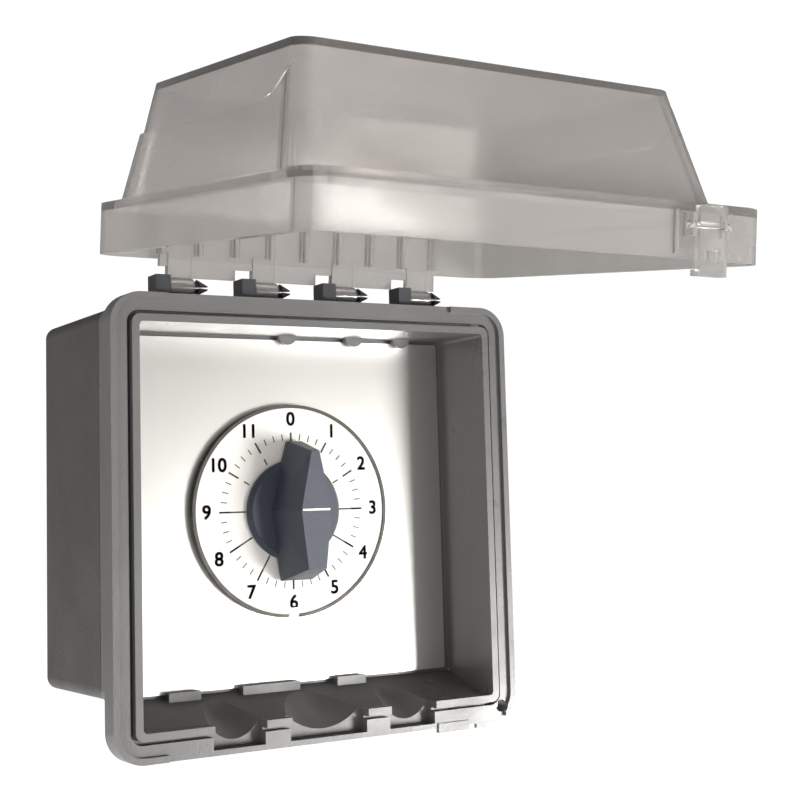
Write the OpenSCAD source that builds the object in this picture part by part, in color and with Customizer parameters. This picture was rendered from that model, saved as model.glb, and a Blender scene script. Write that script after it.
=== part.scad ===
// Spring-wound twelve-hour controller in a two-gang weatherproof wall box.
// A clear domed lid is hinged along the top and stands open.
// The wall is the plane y = 0. The controller faces -Y, +X is right and +Z is up.
// The origin lies on the wall, straight behind the centre of the cover's rim.

/* [Wall box] */
// Width of the wall box
box_w = 117; // [114:0.5:119]
// Height of the wall box
box_h = 116; // [114:0.5:117]
// Depth of the wall box from the wall to its front edge
box_depth = 50; // [48:1:60]
// Wall thickness of the cast box
box_wall = 3; // [2.5:0.5:3.5]
// Half spacing of the wall mounting holes
mount_half = 38; // [34:1:40]
// Height of the wall box's centre above the cover's centre
box_rise = 6.8; // [4:0.2:7]

/* [Cover base] */
// Outer width and height of the rim
rim_size = 132; // [130:0.5:136]
// Width and height of the recess
recess_size = 115; // [112:0.5:116]
// Depth from the rim's front to the recess floor
recess_depth = 27; // [24:0.5:32]
// Corner radius of the rim
rim_corner = 9; // [6:0.5:12]

/* [Lid] */
// Angle that the lid stands open at
lid_open = 83.5; // [0:0.5:98]
// Wall thickness of the lid
lid_wall = 2.2; // [1.8:0.1:2.6]
// Depth of the straight rim band
band_depth = 14.4; // [12:0.2:16]
// Depth of the tapered dome
dome_depth = 33.7; // [28:0.1:36]

/* [Dial and knob] */
// Radius of the dial ring
dial_r = 33.1; // [32:0.1:35]
// Height of the dial's centre above the cover's centre
dial_z = 2.7; // [1:0.1:4]
// Sideways position of the dial's centre
dial_x = 0.4; // [0:0.1:1.5]
// Height of the knob's face above the front plate
knob_height = 19; // [16:0.5:22]
// Radius of the knob's skirt
skirt_r = 15.6; // [15:0.1:16.6]

/* [Hidden] */
$fn = 64;
gap = 0.3;
running = 0.06;
gasket_t = 1.2;
flange_t = 3.5;
plate_t = 1;
box_r = 4;
d_gasket = box_depth + gasket_t;
d_flange = d_gasket + flange_t;
d_plate = d_flange + plate_t;
d_rim = d_flange + recess_depth;
d_ring_face = d_rim - 1.2;
d_flare_end = d_rim - 7;
lip_w = 1.9;
ridge_w = 2.2;
groove_w = 1.1;
device_x = 23;
device_z = 41.65;
flange_opening = 64;
plate_top = 56.4;
floor_back_z = -50.6;
hub_r = 10.3;
hub_len = 9;
hub_d = 24;
ground_x = -40;
ground_z = -22;
hub_x = 28;
hinge_z = rim_size / 2 + 2.9;
hinge_d = d_rim - 8;
hinge_first = -50.6;
hinge_pitch = 26.8;
hinge_block_w = 4.4;
knuckle_r = 2.6;
leaf_z = hinge_z + 1.2;
leaf_x0 = -48;
leaf_x1 = 45;
pin_r = 1.5;
lid_w = rim_size + 2;
lid_high = rim_size / 2 + 9.5;
lid_low = -rim_size / 2 + 0.5;
lid_corner = 10;
dome_base_w = 128;
dome_base_h = 116;
dome_base_z = 8.4;
dome_top_w = 114.4;
dome_top_h = 95;
dome_top_z = 12;
panel_deep = 1.4;
d_lid = d_rim + gap;
d_band = d_lid + band_depth;
d_dome = d_band + dome_depth;
latch_x = 38.5;
latch_w = 9;
latch_pivot_z = lid_low - 2.2;
latch_pivot_s = 8.5;
case_half = 31;
post_at = case_half - 4.5;
case_back_d = d_flange - 36.7;
case_wall = 1.6;
cover_t = 1.6;
arbor_r = 3;
second_x = 15;
second_z = -12.6;
escape_x = 3.3;
escape_z = -14.7;
balance_x = -16;
balance_z = -14;
disc_d = d_plate + 1.2;
disc_t = 0.8;
skirt_d = d_plate + 2.3;
skirt_t = 2.6;
slot_deep = 5.6;
trough_deep = 4.9;
trough_slope = 31;
lock_x = rim_size / 2 - 5;
lock_z = -rim_size / 2 + 4.7;
lock_r = 1.9;
slot_spans = [[-36.4, -20.4], [-12.4, 12.8], [20.7, 36.5]];

box_colour = [0.22, 0.21, 0.20];
base_colour = [0.52, 0.51, 0.48];
clip_colour = [0.16, 0.17, 0.18];
clear_colour = [0.74, 0.72, 0.70, 0.45];
plate_colour = [0.84, 0.83, 0.80];
dial_colour = [0.92, 0.91, 0.88];
ring_colour = [0.66, 0.65, 0.62];
knob_colour = [0.24, 0.26, 0.30];
steel_colour = [0.62, 0.62, 0.63];
brass_colour = [0.76, 0.62, 0.32];
rubber_colour = [0.06, 0.06, 0.06];
moulding_colour = [0.30, 0.20, 0.14];

// Rounded rectangle made of true arcs
module rounded(w, h, r) {
  square([w - 2 * r, h], center = true);
  square([w, h - 2 * r], center = true);
  for (sx = [-1, 1]) {
    for (sz = [-1, 1]) {
      translate([sx * (w / 2 - r), sz * (h / 2 - r)]) circle(r = r);
    }
  }
}

// Extrudes a shape drawn in X and Z between two distances from the wall
module layer(from, to) {
  translate([0, -from, 0]) rotate([90, 0, 0]) linear_extrude(to - from) children();
}

// Cylinder along Y at (x, z) between two distances from the wall
module bar(x, z, r, from, to) {
  translate([x, -from, z]) rotate([90, 0, 0]) cylinder(r = r, h = to - from);
}

// Box from ranges in x, distance from the wall, and z
module block(x0, x1, from, to, z0, z1) {
  translate([x0, -to, z0]) cube([x1 - x0, to - from, z1 - z0]);
}

// Cylinder along X at a distance from the wall and height
module crossbar(x0, x1, r, d, z) {
  translate([x0, -d, z]) rotate([0, 90, 0]) cylinder(r = r, h = x1 - x0);
}

// Raises the wall box's parts to the box's own centre
module raised() {
  translate([0, 0, box_rise]) children();
}

// Turns the lid's parts about the hinge from closed to the angle they stand at
module opened() {
  translate([0, -hinge_d, hinge_z]) rotate([-lid_open, 0, 0]) translate([0, hinge_d, -hinge_z]) children();
}

// ---- wall box ----

module device_places() {
  for (sx = [-1, 1]) {
    for (sz = [-1, 1]) {
      translate([sx * device_x, 0, box_rise + sz * device_z]) children();
    }
  }
}

module wall_box() {
  inner_h = box_h / 2 - box_wall;
  color(box_colour)
  difference() {
    raised() union() {
      difference() {
        layer(0, box_depth) rounded(box_w, box_h, box_r);
        layer(box_wall, box_depth + 1) rounded(box_w - 2 * box_wall, box_h - 2 * box_wall, 2);
      }
      for (sx = [-1, 1]) {
        for (sz = [-1, 1]) {
          block(sx * device_x - 4, sx * device_x + 4, box_depth - 14, box_depth,
                sz > 0 ? device_z - 4 : -inner_h - 0.5, sz > 0 ? inner_h + 0.5 : -device_z + 4);
        }
      }
      for (hub = [[-hub_x, -1], [hub_x, -1], [0, 1]]) {
        translate([hub[0], -hub_d, hub[1] * (box_h / 2 - 1)])
          rotate([0, hub[1] > 0 ? 180 : 0, 0]) cylinder(r = hub_r + 3.2, h = hub_len);
      }
      block(ground_x - 6, ground_x + 6, box_wall - 0.5, box_wall + 2, ground_z - 6, ground_z + 6);
    }
    device_places() bar(0, 0, 1.8, box_depth - 12, box_depth + 1);
    raised() {
      for (sx = [-1, 1]) {
        for (sz = [-1, 1]) {
          bar(sx * mount_half, sz * mount_half, 2.6, -1, box_wall + 1);
        }
      }
      for (hub = [[-hub_x, -1], [hub_x, -1], [0, 1]]) {
        translate([hub[0], -hub_d, hub[1] * box_h / 2]) rotate([0, hub[1] > 0 ? 180 : 0, 0])
          translate([0, 0, -1]) cylinder(r = hub_r, h = hub_len + 4);
      }
      bar(ground_x, ground_z, 1.95, 1, box_wall + 3);
    }
  }
}

module box_gasket() {
  color(rubber_colour)
  raised() layer(box_depth, d_gasket) difference() {
    rounded(box_w - 0.6, box_h - 0.6, box_r);
    rounded(box_w - 9, box_h - 9, 3);
  }
}

module closure_plugs() {
  color(box_colour)
  raised() for (hub = [[-hub_x, -1], [0, 1]]) {
    translate([hub[0], -hub_d, hub[1] * (box_h / 2 + 0.8)]) rotate([0, hub[1] > 0 ? 180 : 0, 0])
    difference() {
      cylinder(r = hub_r - 0.05, h = 8);
      translate([-7, -1, -1]) cube([14, 2, 3]);
    }
  }
}

module ground_screw() {
  color([0.16, 0.42, 0.22])
  raised() translate([ground_x, 0, ground_z]) difference() {
    union() {
      bar(0, 0, 4, box_wall + 2, box_wall + 4.6);
      bar(0, 0, 1.9, 1.2, box_wall + 3);
    }
    block(-3, 3, box_wall + 3.6, box_wall + 5, -0.5, 0.5);
  }
}

// ---- cover base ----

// Notches through the lower rim, each with a shallow arched trough behind it
module rim_cord_slots() {
  floor_z = -rim_size / 2 + 1.6;
  wall_z = -recess_size / 2;
  for (span = slot_spans) {
    middle = (span[0] + span[1]) / 2;
    half = (span[1] - span[0]) / 2;
    arch_r = (half * half + trough_deep * trough_deep) / (2 * trough_deep);
    block(span[0], span[1], d_rim - slot_deep, d_rim + 1, floor_z, wall_z + 1);
    intersection() {
      translate([middle, -(d_rim - slot_deep), wall_z - trough_deep]) rotate([trough_slope, 0, 0])
        translate([0, -6, arch_r]) rotate([-90, 0, 0]) cylinder(r = arch_r, h = 40);
      block(span[0], span[1], d_flange + 1.5, d_rim - slot_deep + 0.2, -rim_size / 2, wall_z + 12);
    }
  }
}

// Recess with a floor that slopes up towards the wall
module recess_cut() {
  low_z = -recess_size / 2;
  difference() {
    layer(d_flange - 1, d_rim + 1) rounded(recess_size, recess_size, 1.2);
    rotate([90, 0, 90]) linear_extrude(recess_size + 4, center = true) polygon([
      [-(d_flange - 2), low_z - 2], [-(d_rim - slot_deep), low_z - 2], [-(d_rim - slot_deep), low_z],
      [-(d_flange - 2), floor_back_z]
    ]);
  }
}

module cover_flange() {
  color(base_colour)
  difference() {
    cover_back(d_gasket, d_flange);
    layer(d_gasket - 1, d_flange + 1) translate([dial_x, dial_z]) rounded(flange_opening, flange_opening, 3);
    device_places() {
      bar(0, 0, 1.9, d_gasket - 1, d_flange + 1);
      bar(0, 0, 3.4, d_flange - 2.2, d_flange + 1);
    }
  }
}

// Outline of the cover where it meets the wall box
module cover_back(from, to) {
  translate([0, 0, box_rise - 0.5]) layer(from, to) rounded(box_w + 0.6, box_h + 2, box_r + 1);
}

module cover_base() {
  half = rim_size / 2;
  lip_inner = rim_size - 2 * lip_w;
  ridge_outer = recess_size + 2 * ridge_w;
  color(base_colour)
  difference() {
    union() {
      hull() {
        cover_back(d_flange, d_flange + 0.2);
        layer(d_flare_end, d_flare_end + 0.1) rounded(rim_size, rim_size, rim_corner);
      }
      layer(d_flare_end, d_ring_face) rounded(rim_size, rim_size, rim_corner);
      difference() {
        layer(d_ring_face - 0.5, d_rim) rounded(rim_size, rim_size, rim_corner);
        layer(d_ring_face, d_rim + 1) rounded(lip_inner, lip_inner, rim_corner - lip_w);
        block(-49, 46, d_ring_face, d_rim + 1, half - lip_w - 1, half + 1);
        block(-50, half - 4, d_ring_face, d_rim + 1, -half - 1, -half + lip_w + 1);
      }
      layer(d_ring_face - 0.5, d_rim) rounded(ridge_outer, ridge_outer, 2.6);
      block(latch_x - 1, latch_x + latch_w + 1, d_rim - 2.2, d_rim - 0.6, -half - 1.3, -half + 1.5);
      block(52, 57.5, d_rim - 3.2, d_rim - 1.8, -half - 1.4, -half + 1);
    }
    recess_cut();
    layer(d_rim - 3.4, d_rim + 1) difference() {
      rounded(ridge_outer + 2 * groove_w, ridge_outer + 2 * groove_w, 3.6);
      rounded(ridge_outer, ridge_outer, 2.6);
    }
    rim_cord_slots();
    bar(lock_x, lock_z, lock_r, d_rim - 8, d_rim + 1);
    bar(lock_x, lock_z, lock_r + 2, d_flange, d_rim - 6);
  }
  color(base_colour) plate_keepers();
}

// Nubs over the plate's top edge and tabs under its lower edge
module plate_keepers() {
  top_z = recess_size / 2 + 0.5;
  for (x = [0, 23.5, 41]) {
    intersection() {
      bar(x, top_z, 3.2, d_plate + 0.1, d_plate + 2.2);
      block(x - 4, x + 4, d_plate, d_plate + 3, top_z - 4, top_z);
    }
  }
  for (tab = [[-41, -31], [-17.5, 1.5], [14.4, 24.4]]) {
    block(tab[0], tab[1], d_plate + 0.1, d_plate + 3, -54, floor_back_z + 0.9);
  }
}

module base_screws() {
  color(steel_colour)
  device_places() difference() {
    union() {
      bar(0, 0, 3.2, d_flange - 2.1, d_flange - 0.2);
      bar(0, 0, 1.75, box_depth - 10, d_flange - 2);
    }
    block(-2.6, 2.6, d_flange - 0.9, d_flange + 1, -0.45, 0.45);
  }
}

// ---- hinge ----

// One dark hinge block with its barbed and slotted pin
module hinge_pin(index) {
  x0 = hinge_first + index * hinge_pitch;
  stem_end = x0 + hinge_block_w + 9.2;
  color(clip_colour)
  difference() {
    union() {
      block(x0, x0 + hinge_block_w, hinge_d - 3.3, hinge_d + 3.3, rim_size / 2, hinge_z + 3.1);
      crossbar(x0 + hinge_block_w - 0.5, stem_end, pin_r, hinge_d, hinge_z);
      translate([stem_end, -hinge_d, hinge_z]) rotate([0, 90, 0])
        cylinder(r1 = pin_r + 0.9, r2 = 0.7, h = 3.4);
    }
    translate([stem_end - 4, -hinge_d - 4, hinge_z - 0.35]) cube([9, 8, 0.7]);
  }
}

module hinge_pin_1() { hinge_pin(0); }
module hinge_pin_2() { hinge_pin(1); }
module hinge_pin_3() { hinge_pin(2); }
module hinge_pin_4() { hinge_pin(3); }

// ---- lid ----

// Tapered dome shape from a starting distance, shrunk evenly by an inset
module dome_shape(inset, from, top) {
  hull() {
    translate([0, 0, dome_base_z]) layer(from, from + 0.2)
      rounded(dome_base_w - 2 * inset, dome_base_h - 2 * inset, 8 - inset, $fn = 32);
    translate([0, 0, dome_top_z]) layer(top - 0.2, top)
      rounded(dome_top_w - 2 * inset, dome_top_h - 2 * inset, 6 - inset, $fn = 32);
  }
}

// Recessed panel cut into each side of the dome, rounded at its lower front corner
module side_panel() {
  s0 = d_band + dome_depth * 0.57;
  far_z = dome_top_z - dome_top_h / 2 - 1;
  r = 14;
  for (side = [-1, 1]) {
    translate([side * (dome_top_w / 2 + 6), 0, 0]) rotate([0, 90, 0])
    linear_extrude(18, center = true) {
      translate([-dome_base_h, -d_dome - 4]) square([dome_base_h - far_z - r, d_dome + 4 - s0]);
      translate([-far_z - r - 0.1, -d_dome - 4]) square([r + 0.1, d_dome + 4 - s0 - r]);
      translate([-far_z - r, -s0 - r]) circle(r = r);
    }
  }
}

module hinge_leaf() {
  ribs = 8;
  step = (leaf_x1 - leaf_x0 - 1.2) / ribs;
  block(leaf_x0, leaf_x1, d_rim - 2, d_band - 1, leaf_z, leaf_z + 1.8);
  for (i = [0 : ribs]) {
    x = leaf_x0 + 0.6 + i * step;
    block(x - 0.6, x + 0.6, d_rim + 1.5, d_band - 1, leaf_z - 2, lid_high - 1);
  }
  for (index = [0 : 3]) {
    x0 = hinge_first + index * hinge_pitch + hinge_block_w + 0.5;
    crossbar(x0, x0 + 7.2, knuckle_r, hinge_d, hinge_z);
    block(x0, x0 + 7.2, hinge_d, d_rim + 2, hinge_z + 0.6, hinge_z + knuckle_r);
    block(x0, min(x0 + hinge_pitch - hinge_block_w - 1, leaf_x1), hinge_d + 2.8, d_rim - 1,
          leaf_z, leaf_z + 1.8);
  }
}

module latch_ears() {
  rail_s = d_lid + 1;
  for (x = [latch_x - 1.9, latch_x + latch_w + 0.4]) {
    block(x, x + 1.5, d_lid + 5.5, d_lid + 11.5, latch_pivot_z - 1.8, lid_low + 1);
  }
  block(latch_x - 5, latch_x - 3.8, rail_s, d_band - 2, lid_low - 0.9, lid_low + 1);
  block(latch_x + latch_w + 3.4, latch_x + latch_w + 4.4, rail_s + 2, d_band - 2, lid_low - 0.9, lid_low + 1);
  for (x = [latch_x - 5, latch_x + latch_w + 0.4]) {
    block(x, x + 4.4, rail_s, rail_s + 1.2, lid_low - 0.9, lid_low + 1);
  }
}

module lid_shell() {
  lid_h = lid_high - lid_low;
  lid_mid = (lid_high + lid_low) / 2;
  difference() {
    union() {
      translate([0, 0, lid_mid]) layer(d_lid, d_band) rounded(lid_w, lid_h, lid_corner);
      difference() {
        dome_shape(0, d_band - 0.4, d_dome);
        difference() {
          side_panel();
          dome_shape(panel_deep, d_band - 0.4, d_dome + 4);
        }
      }
    }
    translate([0, 0, lid_mid]) layer(d_lid - 1, d_band - lid_wall)
      rounded(lid_w - 2 * lid_wall, lid_h - 2 * lid_wall, lid_corner - lid_wall);
    dome_shape(lid_wall, d_band - lid_wall - 0.2, d_dome - lid_wall);
  }
}

module lid() {
  color(clear_colour)
  opened() difference() {
    union() {
      lid_shell();
      hinge_leaf();
      latch_ears();
      bar(lock_x, lock_z, lock_r + 1.1, d_rim + gap, d_rim + gap + 3);
    }
    crossbar(-60, 60, pin_r + running, hinge_d, hinge_z);
    crossbar(latch_x - 3, latch_x + latch_w + 3, 0.9 + running, d_lid + latch_pivot_s, latch_pivot_z);
    bar(lock_x, lock_z, lock_r, d_rim - 1, d_rim + 5);
  }
}

// Clear snap latch with a finger loop and a hook that catches the base
module latch() {
  outer_z = -rim_size / 2 - 4;
  strap_z = outer_z + 2;
  tip_d = d_rim - 4.1;
  color(clear_colour)
  opened() {
    difference() {
      union() {
        block(latch_x, latch_x + latch_w, tip_d, d_band - 1, outer_z, strap_z);
        block(latch_x, latch_x + latch_w, tip_d, tip_d + 1.6, outer_z, -rim_size / 2 - 0.4);
        crossbar(latch_x - 1.7, latch_x + latch_w + 1.7, 0.9, d_lid + latch_pivot_s, latch_pivot_z);
        block(latch_x, latch_x + latch_w, d_lid + latch_pivot_s - 0.9, d_lid + latch_pivot_s + 0.9,
              outer_z + 1, latch_pivot_z);
      }
      block(latch_x + 2.5, latch_x + latch_w - 2.5, d_rim - 0.5, d_rim + 2.5, outer_z - 1, outer_z + 4);
    }
  }
}

// ---- front plate, dial and knob ----

module face_plate() {
  color(plate_colour)
  difference() {
    union() {
      translate([0, 0, (plate_top + floor_back_z + gap) / 2]) layer(d_flange, d_plate)
        rounded(111, plate_top - floor_back_z - gap, 0.8);
      block(dial_x - 1.5, dial_x + 1.5, d_plate - 0.1, d_plate + 2.2,
            dial_z - dial_r + 0.6, dial_z - dial_r + 3);
    }
    bar(dial_x, dial_z, 6, d_flange - 1, d_plate + 1);
    for (side = [-1, 1]) {
      bar(dial_x + side * 24, dial_z, 1.9, d_flange - 1, d_plate + 1);
    }
  }
}

module dial_notch() {
  translate([dial_x, dial_z - dial_r]) {
    polygon([[-2.4, -1], [2.4, -1], [1.2, 2.6], [-1.2, 2.6]]);
  }
}

module dial_disc() {
  color(dial_colour)
  layer(disc_d, disc_d + disc_t) difference() {
    translate([dial_x, dial_z]) circle(r = dial_r - 1.05);
    translate([dial_x, dial_z]) circle(r = 5);
    dial_notch();
  }
}

module dial_ring() {
  color(ring_colour)
  layer(d_plate, disc_d + disc_t + 0.4) difference() {
    translate([dial_x, dial_z]) circle(r = dial_r);
    translate([dial_x, dial_z]) circle(r = dial_r - 1);
    dial_notch();
  }
}

module timer_screws() {
  color(steel_colour)
  for (side = [-1, 1]) {
    translate([dial_x + side * 24, 0, dial_z]) difference() {
      union() {
        bar(0, 0, 3, d_plate, d_plate + 1);
        bar(0, 0, 1.5, d_plate - 7, d_plate + 0.5);
      }
      block(-2.4, 2.4, d_plate + 0.5, d_plate + 2, -0.4, 0.4);
    }
  }
}

// Outline of the grip at a given half length, widest in the middle
module grip_outline(half, wide, top_wide, low_wide) {
  polygon([
    [-top_wide, half], [top_wide, half], [wide, 0],
    [low_wide, -half], [-low_wide, -half], [-wide, 0]
  ]);
}

module knob() {
  top = d_plate + knob_height;
  color(knob_colour)
  difference() {
    union() {
      translate([dial_x, -skirt_d, dial_z]) rotate([90, 0, 0])
        rotate_extrude() polygon([
          [0, 0], [skirt_r, 0], [skirt_r, 1.2], [skirt_r - 1, skirt_t], [0, skirt_t]
        ]);
      translate([dial_x, 0, dial_z]) hull() {
        layer(skirt_d + skirt_t - 1.6, skirt_d + skirt_t) grip_outline(21.5, 8.4, 2.4, 5);
        layer(top - 0.2, top) grip_outline(17.9, 5, 1.3, 3);
      }
    }
    bar(dial_x, dial_z, arbor_r + 0.02, skirt_d - 1, d_plate + 12.5);
    block(dial_x - 4.6, dial_x + 4.6, top - 0.6, top + 1, dial_z - 0.35, dial_z + 0.35);
  }
}

module knob_line() {
  top = d_plate + knob_height;
  color([0.95, 0.95, 0.95])
  block(dial_x - 4.55, dial_x + 4.55, top - 0.58, top + 0.05, dial_z - 0.3, dial_z + 0.3);
}

// ---- timer ----

module arbor() {
  color(steel_colour)
  union() {
    bar(dial_x, dial_z, 2, case_back_d + 0.4, case_back_d + 6);
    bar(dial_x, dial_z, arbor_r, case_back_d + 6, d_plate + 12.4);
  }
}

module case_posts(r, from, to) {
  for (sx = [-1, 1]) {
    for (sz = [-1, 1]) {
      bar(dial_x + sx * post_at, dial_z + sz * post_at, r, from, to);
    }
  }
}

module timer_case() {
  front = d_flange - cover_t;
  color(steel_colour)
  difference() {
    union() {
      difference() {
        translate([dial_x, 0, dial_z]) layer(case_back_d, front) rounded(2 * case_half, 2 * case_half, 3);
        translate([dial_x, 0, dial_z]) layer(case_back_d + case_wall, front + 1)
          rounded(2 * (case_half - case_wall), 2 * (case_half - case_wall), 1.6);
      }
      case_posts(3.3, case_back_d + 1, front);
      bar(dial_x, dial_z, 5, case_back_d + 1, case_back_d + 4);
    }
    case_posts(1.25, front - 6, front + 1);
    bar(dial_x, dial_z, 2 + running, case_back_d - 1, case_back_d + 5);
    for (p = [[second_x, second_z], [escape_x, escape_z], [balance_x, balance_z]]) {
      bar(dial_x + p[0], dial_z + p[1], 1 + running, case_back_d - 1, case_back_d + 3);
    }
  }
}

module timer_cover() {
  color(steel_colour)
  translate([dial_x, 0, dial_z])
  difference() {
    layer(d_flange - cover_t, d_flange) rounded(2 * case_half, 2 * case_half, 3);
    bar(0, 0, arbor_r + running, d_flange - 4, d_flange + 1);
    for (sx = [-1, 1]) {
      bar(sx * 24, 0, 1.55, d_flange - 4, d_flange + 1);
      for (sz = [-1, 1]) {
        bar(sx * post_at, sz * post_at, 1.25, d_flange - 4, d_flange + 1);
        bar(sx * post_at, sz * post_at, 2.3, d_flange - 0.7, d_flange + 1);
      }
    }
  }
}

module case_rivets() {
  color(brass_colour) {
    case_posts(1.2, d_flange - cover_t - 5, d_flange - 0.6);
    case_posts(2.2, d_flange - 0.7, d_flange - 0.1);
  }
}

// Point on a spiral at a number of turns from its start, moved outwards by an offset
function spiral(turned, inner, pitch, offset) =
  (inner + pitch * turned + offset) * [cos(360 * turned), sin(360 * turned)];

// Flat spiral ribbon wound round the arbor
module mainspring() {
  turns = 5;
  steps = 120;
  inner = 5;
  pitch = 2.3;
  half_t = 0.35;
  outer_side = [for (i = [0 : steps]) spiral(turns * i / steps, inner, pitch, half_t)];
  inner_side = [for (i = [steps : -1 : 0]) spiral(turns * i / steps, inner, pitch, -half_t)];
  color([0.36, 0.38, 0.44])
  translate([dial_x, 0, dial_z]) layer(case_back_d + 22.5, case_back_d + 31.5)
    polygon(concat(outer_side, inner_side));
}

// Toothed wheel outline with a bore
module wheel_outline(teeth, tip_r, root_r, bore_r) {
  difference() {
    union() {
      circle(r = root_r);
      for (i = [0 : teeth - 1]) {
        rotate(360 * i / teeth) translate([0, root_r - 0.3]) polygon([
          [-root_r * 1.6 / teeth, 0], [root_r * 1.6 / teeth, 0],
          [root_r * 0.8 / teeth, tip_r - root_r + 0.3], [-root_r * 0.8 / teeth, tip_r - root_r + 0.3]
        ]);
      }
    }
    circle(r = bore_r);
  }
}

module main_wheel() {
  color(brass_colour)
  translate([dial_x, 0, dial_z]) layer(case_back_d + 14, case_back_d + 15.6) difference() {
    wheel_outline(40, 16, 14.4, arbor_r + 0.02);
    for (a = [0 : 60 : 300]) {
      rotate(a) translate([9, 0]) circle(r = 2.6);
    }
  }
}

module second_wheel() {
  color(brass_colour)
  translate([dial_x + second_x, 0, dial_z + second_z]) {
    layer(case_back_d + 10, case_back_d + 11.2) wheel_outline(24, 9, 7.8, 0.9);
    layer(case_back_d + 11.1, case_back_d + 16.4) wheel_outline(8, 3.2, 2.2, 0.9);
    bar(0, 0, 1, case_back_d + 0.2, case_back_d + 17.5);
  }
}

module escape_wheel() {
  color(brass_colour)
  translate([dial_x + escape_x, 0, dial_z + escape_z]) {
    layer(case_back_d + 6.4, case_back_d + 7.4) wheel_outline(15, 6.6, 5, 0.9);
    layer(case_back_d + 7.3, case_back_d + 12.4) wheel_outline(8, 2.5, 1.7, 0.9);
    bar(0, 0, 1, case_back_d + 0.2, case_back_d + 13);
  }
}

module balance_wheel() {
  color(brass_colour)
  translate([dial_x + balance_x, 0, dial_z + balance_z]) {
    layer(case_back_d + 4, case_back_d + 6) difference() {
      circle(r = 9);
      circle(r = 7.4);
    }
    block(-7.8, 7.8, case_back_d + 4.4, case_back_d + 5.6, -1, 1);
    bar(0, 0, 1, case_back_d + 0.2, case_back_d + 8);
  }
}

// Cam with an off notch
module switch_cam() {
  color([0.85, 0.83, 0.76])
  translate([dial_x, 0, dial_z]) layer(case_back_d + 18, case_back_d + 21) difference() {
    circle(r = 9);
    circle(r = arbor_r + 0.02);
    translate([-2, 7.4]) square([4, 3]);
  }
}

// Springy contact blade standing beside the cam
module contact_blade() {
  color(brass_colour)
  translate([dial_x, -case_back_d, dial_z]) {
    block(-14, 11, 18.4, 20.6, 9.8, 10.3);
    block(-14, -12, 18.4, 20.6, 10.2, 14);
    bar(-13, 15, 1.6, 16.4, 22);
    bar(9, 11.1, 1, 18.4, 20.6);
  }
}

module contact_post() {
  color(brass_colour)
  translate([dial_x, -case_back_d, dial_z]) {
    difference() {
      block(-18, -8, 16.2, 22.2, 12.4, case_half - case_wall);
      block(-19, -7, 18.1, 20.9, 9, 18);
      bar(-13, 15, 1.6 + running, 14, 25);
    }
    block(4, 14, 18.4, 20.6, 17, case_half - case_wall);
    bar(9, 16.2, 1, 18.4, 20.6);
  }
}

module terminal_block() {
  color(moulding_colour)
  translate([dial_x, -case_back_d, dial_z]) difference() {
    layer(-12, 0) rounded(52, 24, 2);
    for (x = [-18 : 12 : 18]) {
      block(x - 4.5, x + 4.5, -13, -8, -8, 14);
      bar(x, 0, 1.8, -13, -2);
    }
  }
}

module terminal_screws() {
  color(brass_colour)
  translate([dial_x, -case_back_d, dial_z]) for (x = [-18 : 12 : 18]) {
    difference() {
      union() {
        bar(x, 0, 3.4, -10.6, -8);
        bar(x, 0, 1.75, -8.5, -3);
      }
      block(x - 3, x + 3, -11, -9.8, -0.4, 0.4);
    }
  }
}

wall_box();
box_gasket();
cover_flange();
cover_base();
base_screws();
hinge_pin_1();
hinge_pin_2();
hinge_pin_3();
hinge_pin_4();
lid();
latch();
face_plate();
dial_disc();
dial_ring();
knob();
knob_line();
arbor();
timer_case();
timer_cover();
case_rivets();
timer_screws();
mainspring();
main_wheel();
second_wheel();
escape_wheel();
balance_wheel();
switch_cam();
contact_blade();
contact_post();
terminal_block();
terminal_screws();
closure_plugs();
ground_screw();
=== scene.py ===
import math
import bpy
import bmesh
from mathutils import Matrix, Vector


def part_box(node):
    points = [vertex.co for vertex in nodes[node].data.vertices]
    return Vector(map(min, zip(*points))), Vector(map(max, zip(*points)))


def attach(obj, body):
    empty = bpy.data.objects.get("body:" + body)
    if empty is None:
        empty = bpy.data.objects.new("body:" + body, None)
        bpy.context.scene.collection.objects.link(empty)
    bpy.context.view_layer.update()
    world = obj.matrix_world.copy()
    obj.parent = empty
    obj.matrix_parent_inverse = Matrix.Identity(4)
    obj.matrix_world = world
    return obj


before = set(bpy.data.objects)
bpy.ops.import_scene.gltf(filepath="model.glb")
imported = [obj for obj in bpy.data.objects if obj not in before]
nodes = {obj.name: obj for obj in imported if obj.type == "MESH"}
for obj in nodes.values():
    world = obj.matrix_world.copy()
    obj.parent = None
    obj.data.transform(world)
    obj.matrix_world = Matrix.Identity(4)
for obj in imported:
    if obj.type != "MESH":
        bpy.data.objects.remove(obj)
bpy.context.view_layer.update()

MM = 0.001

# ---------------------------------------------------------------- camera

RIM_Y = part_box("cover_base")[0].y
CAMERA_FROM_RIM = Vector((-0.21826, -0.42850, 0.00096))
CAMERA_AZIMUTH = math.radians(-34.37)
CAMERA_PITCH = math.radians(-5.81)
CAMERA_ROLL = math.radians(-2.01)
CAMERA_LENS = 71.19
CAMERA_SHIFT = (-0.1580, -0.0665)


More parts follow.
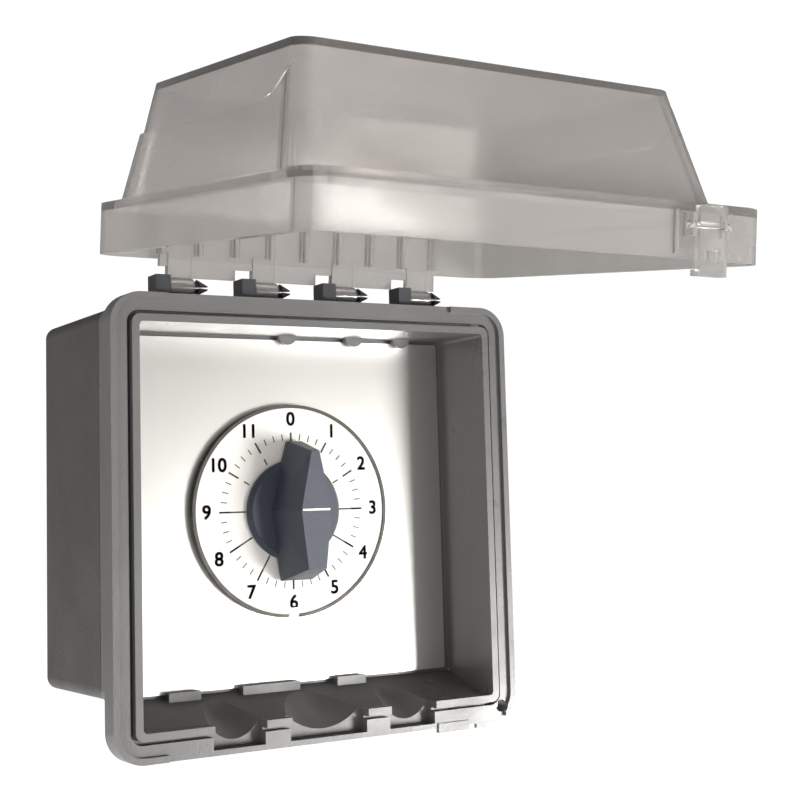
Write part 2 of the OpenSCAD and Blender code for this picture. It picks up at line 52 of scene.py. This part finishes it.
def make_camera():
    """Camera placed from the rim's front, aimed by azimuth, pitch and roll."""
    data = bpy.data.cameras.new("camera")
    data.lens = CAMERA_LENS
    data.sensor_width = 36.0
    data.shift_x, data.shift_y = CAMERA_SHIFT
    data.clip_start = 0.01
    data.clip_end = 20.0
    camera = bpy.data.objects.new("camera", data)
    bpy.context.scene.collection.objects.link(camera)
    a, e = CAMERA_AZIMUTH, CAMERA_PITCH
    back = Vector((math.sin(a) * math.cos(e), -math.cos(a) * math.cos(e), math.sin(e)))
    right = Vector((math.cos(a), math.sin(a), 0.0))
    up = back.cross(right)
    c, s = math.cos(CAMERA_ROLL), math.sin(CAMERA_ROLL)
    tilted_right = c * right + s * up
    tilted_up = -s * right + c * up
    basis = Matrix((tilted_right, tilted_up, back)).transposed().to_4x4()
    position = Vector((0, RIM_Y, 0)) + CAMERA_FROM_RIM
    camera.matrix_world = Matrix.Translation(position) @ basis
    bpy.context.scene.camera = camera


make_camera()

# ---------------------------------------------------------------- floor and light

FLOOR_Z = -0.45
FILL_ABOVE = 0.10
FILL_BELOW = 0.62
FILL_COLOUR = (1.0, 0.985, 0.96, 1)
FILL_FROM_HEIGHT = -0.5
FILL_TO_HEIGHT = 0.75
BACKDROP_STRENGTH = 1.05
FLOOR_GLOW = 1.0
FLOOR_HALF = 3.0
# name, place, target, side, watts, colour
LIGHTS = (
    ("lower_right", (0.64, -0.93, -0.29), (0.05, -0.08, -0.05), 0.34, 12.5, (1.0, 0.985, 0.96)),
    ("front_left", (-0.80, -0.70, -0.10), (0, -0.06, 0), 0.6, 2.2, (1.0, 0.98, 0.96)),
    ("above", (0.30, -0.45, 0.90), (0, -0.15, 0.10), 0.5, 3.0, (1.0, 0.98, 0.95)),
)


def make_world():
    """White behind the object; the fill that lights it is dim above and bright below."""
    world = bpy.data.worlds.new("studio")
    world.use_nodes = True
    tree = world.node_tree
    fill = tree.nodes["Background"]
    fill.inputs["Color"].default_value = FILL_COLOUR
    coords = tree.nodes.new("ShaderNodeTexCoord")
    parts = tree.nodes.new("ShaderNodeSeparateXYZ")
    height = tree.nodes.new("ShaderNodeMapRange")
    height.interpolation_type = "SMOOTHSTEP"
    height.inputs["From Min"].default_value = FILL_FROM_HEIGHT
    height.inputs["From Max"].default_value = FILL_TO_HEIGHT
    height.inputs["To Min"].default_value = FILL_BELOW
    height.inputs["To Max"].default_value = FILL_ABOVE
    tree.links.new(coords.outputs["Generated"], parts.inputs[0])
    tree.links.new(parts.outputs["Z"], height.inputs["Value"])
    tree.links.new(height.outputs["Result"], fill.inputs["Strength"])
    backdrop = tree.nodes.new("ShaderNodeBackground")
    backdrop.inputs["Color"].default_value = (1, 1, 1, 1)
    backdrop.inputs["Strength"].default_value = BACKDROP_STRENGTH
    path = tree.nodes.new("ShaderNodeLightPath")
    mix = tree.nodes.new("ShaderNodeMixShader")
    tree.links.new(path.outputs["Is Camera Ray"], mix.inputs[0])
    tree.links.new(fill.outputs[0], mix.inputs[1])
    tree.links.new(backdrop.outputs[0], mix.inputs[2])
    tree.links.new(mix.outputs[0], tree.nodes["World Output"].inputs["Surface"])
    bpy.context.scene.world = world


def area_light(name, place, target, size, power, colour):
    """A square soft light that points at its target and is unseen by the camera."""
    data = bpy.data.lights.new(name, "AREA")
    data.shape = "SQUARE"
    data.size = size
    data.energy = power
    data.color = colour
    light = bpy.data.objects.new(name, data)
    bpy.context.scene.collection.objects.link(light)
    light.location = place
    direction = Vector(target) - Vector(place)
    light.rotation_euler = direction.to_track_quat("-Z", "Y").to_euler()
    light.visible_camera = False


make_world()
for light_values in LIGHTS:
    area_light(*light_values)

bpy.context.scene.view_settings.view_transform = "Standard"

# ---------------------------------------------------------------- materials

NOISE_LOW = 0.3
NOISE_HIGH = 0.7
CLEAR_IOR = 1.46


class Shader:
    """A node material with its own noise patterns in object space."""

    def __init__(self, name):
        self.material = bpy.data.materials.new(name)
        self.material.use_nodes = True
        self.tree = self.material.node_tree
        self.bsdf = self.tree.nodes["Principled BSDF"]
        self.coords = self.tree.nodes.new("ShaderNodeTexCoord")

    def link(self, source, target):
        self.tree.links.new(source, target)

    def noise(self, scale, detail=3.0, stretch=(1, 1, 1)):
        mapping = self.tree.nodes.new("ShaderNodeMapping")
        mapping.inputs["Scale"].default_value = stretch
        self.link(self.coords.outputs["Object"], mapping.inputs["Vector"])
        texture = self.tree.nodes.new("ShaderNodeTexNoise")
        texture.inputs["Scale"].default_value = scale
        texture.inputs["Detail"].default_value = detail
        self.link(mapping.outputs["Vector"], texture.inputs["Vector"])
        return texture.outputs["Fac"]

    def spread(self, value, low, high):
        """The noise's middle range stretched between a low and a high number."""
        node = self.tree.nodes.new("ShaderNodeMapRange")
        node.inputs["From Min"].default_value = NOISE_LOW
        node.inputs["From Max"].default_value = NOISE_HIGH
        node.inputs["To Min"].default_value = low
        node.inputs["To Max"].default_value = high
        self.link(value, node.inputs["Value"])
        return node.outputs["Result"]

    def colour(self, value, first, second):
        ramp = self.tree.nodes.new("ShaderNodeValToRGB")
        ramp.color_ramp.elements[0].position = NOISE_LOW
        ramp.color_ramp.elements[1].position = NOISE_HIGH
        ramp.color_ramp.elements[0].color = (*first, 1)
        ramp.color_ramp.elements[1].color = (*second, 1)
        self.link(value, ramp.inputs["Fac"])
        self.link(ramp.outputs["Color"], self.bsdf.inputs["Base Color"])

    def roughness(self, value, low, high):
        self.link(self.spread(value, low, high), self.bsdf.inputs["Roughness"])

    def bump(self, value, strength, distance=0.0004):
        node = self.tree.nodes.new("ShaderNodeBump")
        node.inputs["Strength"].default_value = strength
        node.inputs["Distance"].default_value = distance
        self.link(value, node.inputs["Height"])
        self.link(node.outputs["Normal"], self.bsdf.inputs["Normal"])

    def set(self, **values):
        """Sets constants on the shader's own sockets."""
        for name, value in values.items():
            socket = name.replace("_", " ").title().replace("Ior", "IOR")
            self.bsdf.inputs[socket].default_value = value


def scaled(colour, factor):
    """A colour made lighter or darker by a factor."""
    return tuple(min(1.0, c * factor) for c in colour)


def painted(name, colour, rough, grain=900, bump=0.15, vary=0.12):
    """Moulded or painted surface: mottled colour, uneven sheen and fine grain."""
    shader = Shader(name)
    shader.colour(shader.noise(22, 4), scaled(colour, 1 - vary), scaled(colour, 1 + vary))
    shader.roughness(shader.noise(60, 3), rough - 0.06, rough + 0.08)
    shader.bump(shader.noise(grain, 2), bump)
    return shader.material


def metal(name, colour, rough, stretch=(1, 1, 1), grain=260, bump=0.1, vary=0.08, sheen=0.08):
    """Bare metal: brushing lines follow the stretch, and sheen sets how much their roughness differs."""
    shader = Shader(name)
    lines = shader.noise(grain, 3, stretch)
    shader.colour(shader.noise(14, 3), scaled(colour, 1 - vary), scaled(colour, 1 + vary))
    shader.roughness(lines, rough - sheen, rough + sheen)
    shader.bump(lines, bump, 0.0002)
    shader.set(metallic=1.0)
    return shader.material


def clear(name, colour, low, high, transmission, density):
    """Smoky clear plastic with a faint flow pattern and fine scuffs; long paths inside it go dark."""
    shader = Shader(name)
    shader.colour(shader.noise(9, 3, (1, 1, 2)), scaled(colour, 0.96), scaled(colour, 1.03))
    shader.roughness(shader.noise(35, 4, (1, 3, 1)), low, high)
    shader.bump(shader.noise(70, 3), 0.06)
    shader.set(transmission_weight=transmission, ior=CLEAR_IOR)
    smoke = shader.tree.nodes.new("ShaderNodeVolumeAbsorption")
    smoke.inputs["Color"].default_value = (0.72, 0.68, 0.66, 1)
    smoke.inputs["Density"].default_value = density
    shader.link(smoke.outputs["Volume"], shader.tree.nodes["Material Output"].inputs["Volume"])
    return shader.material


charcoal_paint = painted("box_paint", (0.060, 0.056, 0.049), 0.52, grain=700, bump=0.25)
base_plastic = painted("base_plastic", (0.112, 0.110, 0.108), 0.32, grain=1100, bump=0.10, vary=0.06)
rubber = painted("gasket_rubber", (0.012, 0.012, 0.012), 0.7, bump=0.2)
clip_plastic = painted("clip_plastic", (0.022, 0.024, 0.028), 0.42, grain=800, bump=0.10)
lid_plastic = clear("clear_plastic", (0.88, 0.86, 0.845), 0.05, 0.15, 0.88, 90)
latch_plastic = clear("latch_plastic", (0.88, 0.87, 0.86), 0.08, 0.18, 0.92, 60)
plate_metal = metal("plate_metal", (0.66, 0.655, 0.63), 0.30, (1, 1, 30), grain=70, bump=0.006,
                    vary=0.03, sheen=0.012)
dial_enamel = painted("dial_enamel", (0.74, 0.725, 0.69), 0.33, grain=500, bump=0.03, vary=0.03)
ring_metal = metal("ring_metal", (0.075, 0.070, 0.066), 0.5)
knob_plastic = painted("knob_plastic", (0.036, 0.042, 0.064), 0.44, grain=1000, bump=0.12)
line_paint = painted("line_paint", (0.85, 0.85, 0.86), 0.4, bump=0.05, vary=0.03)
print_ink = painted("print_ink", (0.022, 0.020, 0.020), 0.5, bump=0.03)
screw_steel = metal("screw_steel", (0.55, 0.55, 0.56), 0.3)
case_steel = metal("case_steel", (0.50, 0.50, 0.50), 0.36, (1, 1, 12))
spring_steel = metal("spring_steel", (0.20, 0.22, 0.30), 0.3)
brass = metal("small_brass", (0.72, 0.52, 0.22), 0.28)
cam_plastic = painted("cam_plastic", (0.66, 0.62, 0.50), 0.45)
moulding = painted("moulding", (0.10, 0.055, 0.035), 0.45)
ground_paint = painted("ground_paint", (0.03, 0.18, 0.06), 0.45)

FINISHES = {
    "wall_box": charcoal_paint, "closure_plugs": charcoal_paint, "box_gasket": rubber,
    "cover_base": base_plastic, "cover_flange": base_plastic, "base_screws": screw_steel,
    "hinge_pin_1": clip_plastic, "hinge_pin_2": clip_plastic, "hinge_pin_3": clip_plastic,
    "hinge_pin_4": clip_plastic,
    "lid": lid_plastic, "latch": latch_plastic, "face_plate": plate_metal, "dial_disc": dial_enamel,
    "dial_ring": ring_metal, "knob": knob_plastic, "knob_line": line_paint, "arbor": screw_steel,
    "timer_case": case_steel, "timer_cover": case_steel, "case_rivets": brass,
    "timer_screws": screw_steel, "mainspring": spring_steel, "main_wheel": brass,
    "second_wheel": brass, "escape_wheel": brass, "balance_wheel": brass,
    "switch_cam": cam_plastic, "contact_blade": brass, "contact_post": brass,
    "terminal_block": moulding, "terminal_screws": brass, "ground_screw": ground_paint,
}


def dress(piece, material):
    """Gives a piece one material in place of any it has."""
    piece.data.materials.clear()
    piece.data.materials.append(material)


for node_name, finish in FINISHES.items():
    dress(nodes[node_name], finish)

# ---------------------------------------------------------------- printed dial

disc_low, disc_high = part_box("dial_disc")
PRINT_THICK = 0.00012
PRINT_Y = disc_low.y - PRINT_THICK / 2 + 0.00002
DIAL_X = (disc_low.x + disc_high.x) / 2
DIAL_Z = disc_high.z - (disc_high.x - disc_low.x) / 2
DIAL_R = (disc_high.x - disc_low.x) / 2 + 1.1 * MM
HOURS = 12
MARKS_PER_HOUR = 4
# Marks as inner end and outer end in dial radii, then width
HOUR_MARK = (0.625, 0.735, 0.55 * MM)
QUARTER_MARK = (0.665, 0.725, 0.28 * MM)
LONG_MARK = (0.475, 0.73, 0.45 * MM)
INNER_MARK = (0.50, 0.56, 0.4 * MM)
LONG_MARK_HOURS = range(3, 10)
INNER_MARK_HOURS = (10, 11, 1, 2)
NUMERAL_SIZE = 0.178 * DIAL_R
NUMERAL_RADIUS = 0.858 * DIAL_R
NUMERAL_BOLDER = 0.13 * MM


def link_piece(name, mesh, body, material):
    """Adds a piece to the scene with its material and lets it ride on a body."""
    piece = bpy.data.objects.new(name, mesh)
    bpy.context.scene.collection.objects.link(piece)
    dress(piece, material)
    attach(piece, body)


def add_mark(mesh, angle, mark):
    """A thin bar on the dial along a radius; the angle is clockwise from the top."""
    inner, outer, width = mark[0] * DIAL_R, mark[1] * DIAL_R, mark[2]
    out = Vector((math.sin(angle), 0, math.cos(angle)))
    side = Vector((math.cos(angle), 0, -math.sin(angle)))
    centre = Vector((DIAL_X, PRINT_Y, DIAL_Z)) + out * (inner + outer) / 2
    sides = Matrix((side * width, Vector((0, PRINT_THICK, 0)), out * (outer - inner)))
    placing = Matrix.Translation(centre) @ sides.transposed().to_4x4()
    bmesh.ops.create_cube(mesh, size=1.0, matrix=placing)


def dial_marks():
    """All hour, quarter-hour, long and inner marks as one printed piece."""
    mesh = bmesh.new()
    steps = HOURS * MARKS_PER_HOUR
    for step in range(steps):
        mark = QUARTER_MARK if step % MARKS_PER_HOUR else HOUR_MARK
        add_mark(mesh, 2 * math.pi * step / steps, mark)
    for hour in LONG_MARK_HOURS:
        add_mark(mesh, 2 * math.pi * hour / HOURS, LONG_MARK)
    for hour in INNER_MARK_HOURS:
        add_mark(mesh, 2 * math.pi * hour / HOURS, INNER_MARK)
    data = bpy.data.meshes.new("dial_marks")
    mesh.to_mesh(data)
    mesh.free()
    link_piece("dial_marks", data, "housing", print_ink)


def thickened(data, amount):
    """The same mesh laid down four times, each copy moved a little in X and Z."""
    mesh = bmesh.new()
    for dx in (-amount, amount):
        for dz in (-amount, amount):
            first = len(mesh.verts)
            mesh.from_mesh(data)
            mesh.verts.ensure_lookup_table()
            bmesh.ops.translate(mesh, verts=mesh.verts[first:], vec=(dx, 0, dz))
    mesh.to_mesh(data)
    mesh.free()
    return data


def dial_numeral(hour):
    """One number, centred on its place round the dial and standing upright."""
    curve = bpy.data.curves.new(f"numeral_{hour}", "FONT")
    curve.body = str(hour)
    curve.align_x = "CENTER"
    curve.align_y = "CENTER"
    curve.size = NUMERAL_SIZE
    curve.extrude = PRINT_THICK / 2
    text = bpy.data.objects.new("numeral_source", curve)
    bpy.context.scene.collection.objects.link(text)
    bpy.context.view_layer.update()
    data = bpy.data.meshes.new_from_object(text)
    bpy.data.objects.remove(text)
    angle = 2 * math.pi * hour / HOURS
    across = NUMERAL_RADIUS * math.sin(angle)
    upward = NUMERAL_RADIUS * math.cos(angle)
    place = Vector((DIAL_X + across, PRINT_Y, DIAL_Z + upward))
    data.transform(Matrix.Translation(place) @ Matrix.Rotation(math.radians(90), 4, "X"))
    link_piece(f"numeral_{hour}", thickened(data, NUMERAL_BOLDER), "housing", print_ink)


dial_marks()
for hour in range(HOURS):
    dial_numeral(hour)

# ---------------------------------------------------------------- floor


def make_floor():
    """A wide pale floor well below the controller; it glows so that it ends without a line."""
    shader = Shader("pale_floor")
    shader.colour(shader.noise(3, 3), (0.86, 0.86, 0.86), (0.9, 0.9, 0.9))
    shader.roughness(shader.noise(8, 3), 0.7, 0.85)
    shader.set(emission_color=(1, 1, 1, 1), emission_strength=FLOOR_GLOW)
    mesh = bmesh.new()
    bmesh.ops.create_grid(mesh, x_segments=2, y_segments=2, size=FLOOR_HALF)
    data = bpy.data.meshes.new("floor")
    mesh.to_mesh(data)
    mesh.free()
    floor = bpy.data.objects.new("floor", data)
    floor.location = (0, 0, FLOOR_Z)
    bpy.context.scene.collection.objects.link(floor)
    dress(floor, shader.material)


make_floor()
